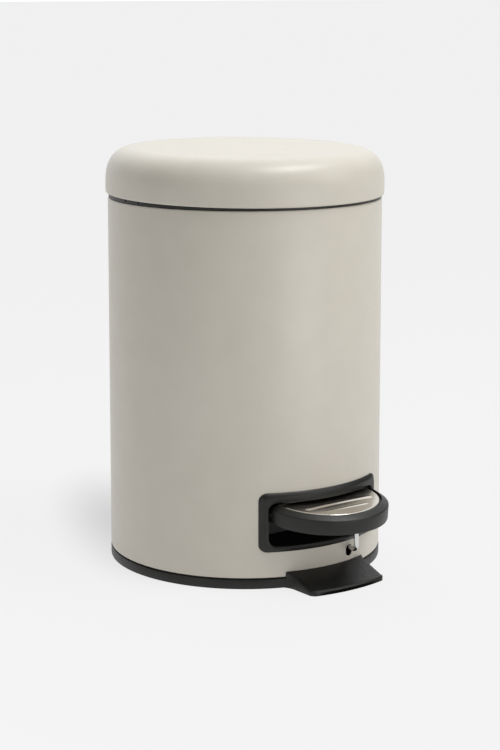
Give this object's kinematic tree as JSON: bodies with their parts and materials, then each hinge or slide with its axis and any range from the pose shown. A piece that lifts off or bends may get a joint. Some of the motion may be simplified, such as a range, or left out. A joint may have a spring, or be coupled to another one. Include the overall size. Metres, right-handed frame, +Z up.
{
  "type": "pedal trash can",
  "caption": "Small round steel pedal bin with a domed lid, a half-round pedal in a framed recess, a toe plate and a lift-out inner bucket.",
  "frame": {"origin": "where the drum's axis meets the floor, on the underside of the base", "axes": "+Z up the drum's axis, -Y towards the pedal at the front, +Y towards the lid hinge, +X to the right seen from the front"},
  "size_m": [0.1728, 0.2166, 0.2581],
  "materials": {
    "coated_steel": "satin powder coat, warm light grey",
    "black_plastic": "fine-textured black polypropylene",
    "grey_plastic": "smooth dark grey polypropylene",
    "rubber": "soft matt",
    "satin_steel": "satin brushed",
    "bright_steel": "bright zinc plate"
  },
  "bodies": {
    "bin": {"body_shell": "coated_steel", "base_moulding": "black_plastic", "foot_pad_1": "rubber", "foot_pad_2": "rubber", "foot_pad_3": "rubber", "foot_pad_4": "rubber", "recess_housing": "black_plastic", "pedal_axle": "bright_steel", "lever_pin": "bright_steel", "push_rod_guide_lower": "black_plastic", "push_rod_guide_upper": "black_plastic", "top_rim": "black_plastic", "hinge_housing": "black_plastic", "hinge_pin": "bright_steel", "hinge_screw_left": "bright_steel", "hinge_screw_right": "bright_steel"},
    "lid": {"lid_shell": "coated_steel", "lid_liner": "black_plastic", "lid_bracket": "satin_steel", "bracket_screw_left": "bright_steel", "bracket_screw_right": "bright_steel"},
    "pedal": {"pedal_body": "black_plastic", "pedal_plate": "satin_steel"},
    "lever": {"lever_wire": "bright_steel", "lever_block": "black_plastic"},
    "rod": {"push_rod": "bright_steel", "push_rod_cap": "black_plastic"},
    "bucket": {"bucket": "grey_plastic"},
    "bail": {"bail_wire": "bright_steel", "bail_grip": "black_plastic"}
  },
  "joints": [
    {"name": "lid_hinge", "type": "hinge", "parent": "bin", "child": "lid", "pos_m": [0, 0.093, 0.226], "axis": [-1, 0, 0], "range_deg": [0, 75]},
    {"name": "pedal_press", "type": "hinge", "parent": "bin", "child": "pedal", "pos_m": [0, -0.072, 0.044], "axis": [1, 0, 0], "range_deg": [0, 12.1]},
    {"name": "lever_tilt", "type": "hinge", "parent": "bin", "child": "lever", "pos_m": [0.0165, -0.058, 0.0128], "axis": [1, 0, 0], "range_deg": [0, 7.6]},
    {"name": "push_rod_lift", "type": "slide", "parent": "bin", "child": "rod", "axis": [0, 0, 1], "range_m": [0, 0.0186]},
    {"name": "bucket_lift", "type": "slide", "parent": "bin", "child": "bucket", "axis": [0, 0, 1], "range_m": [0, 0.008]},
    {"name": "bail_swing", "type": "hinge", "parent": "bucket", "child": "bail", "pos_m": [0, 0, 0.2296], "axis": [-1, 0, 0], "range_deg": [0, 8]}
  ],
  "couplings": [
    {"joint": "pedal_press", "follows": "lid_hinge", "ratio": 0.16},
    {"joint": "lever_tilt", "follows": "lid_hinge", "ratio": 0.1013},
    {"joint": "push_rod_lift", "follows": "lid_hinge", "m_per_rad": 0.01413}
  ]
}
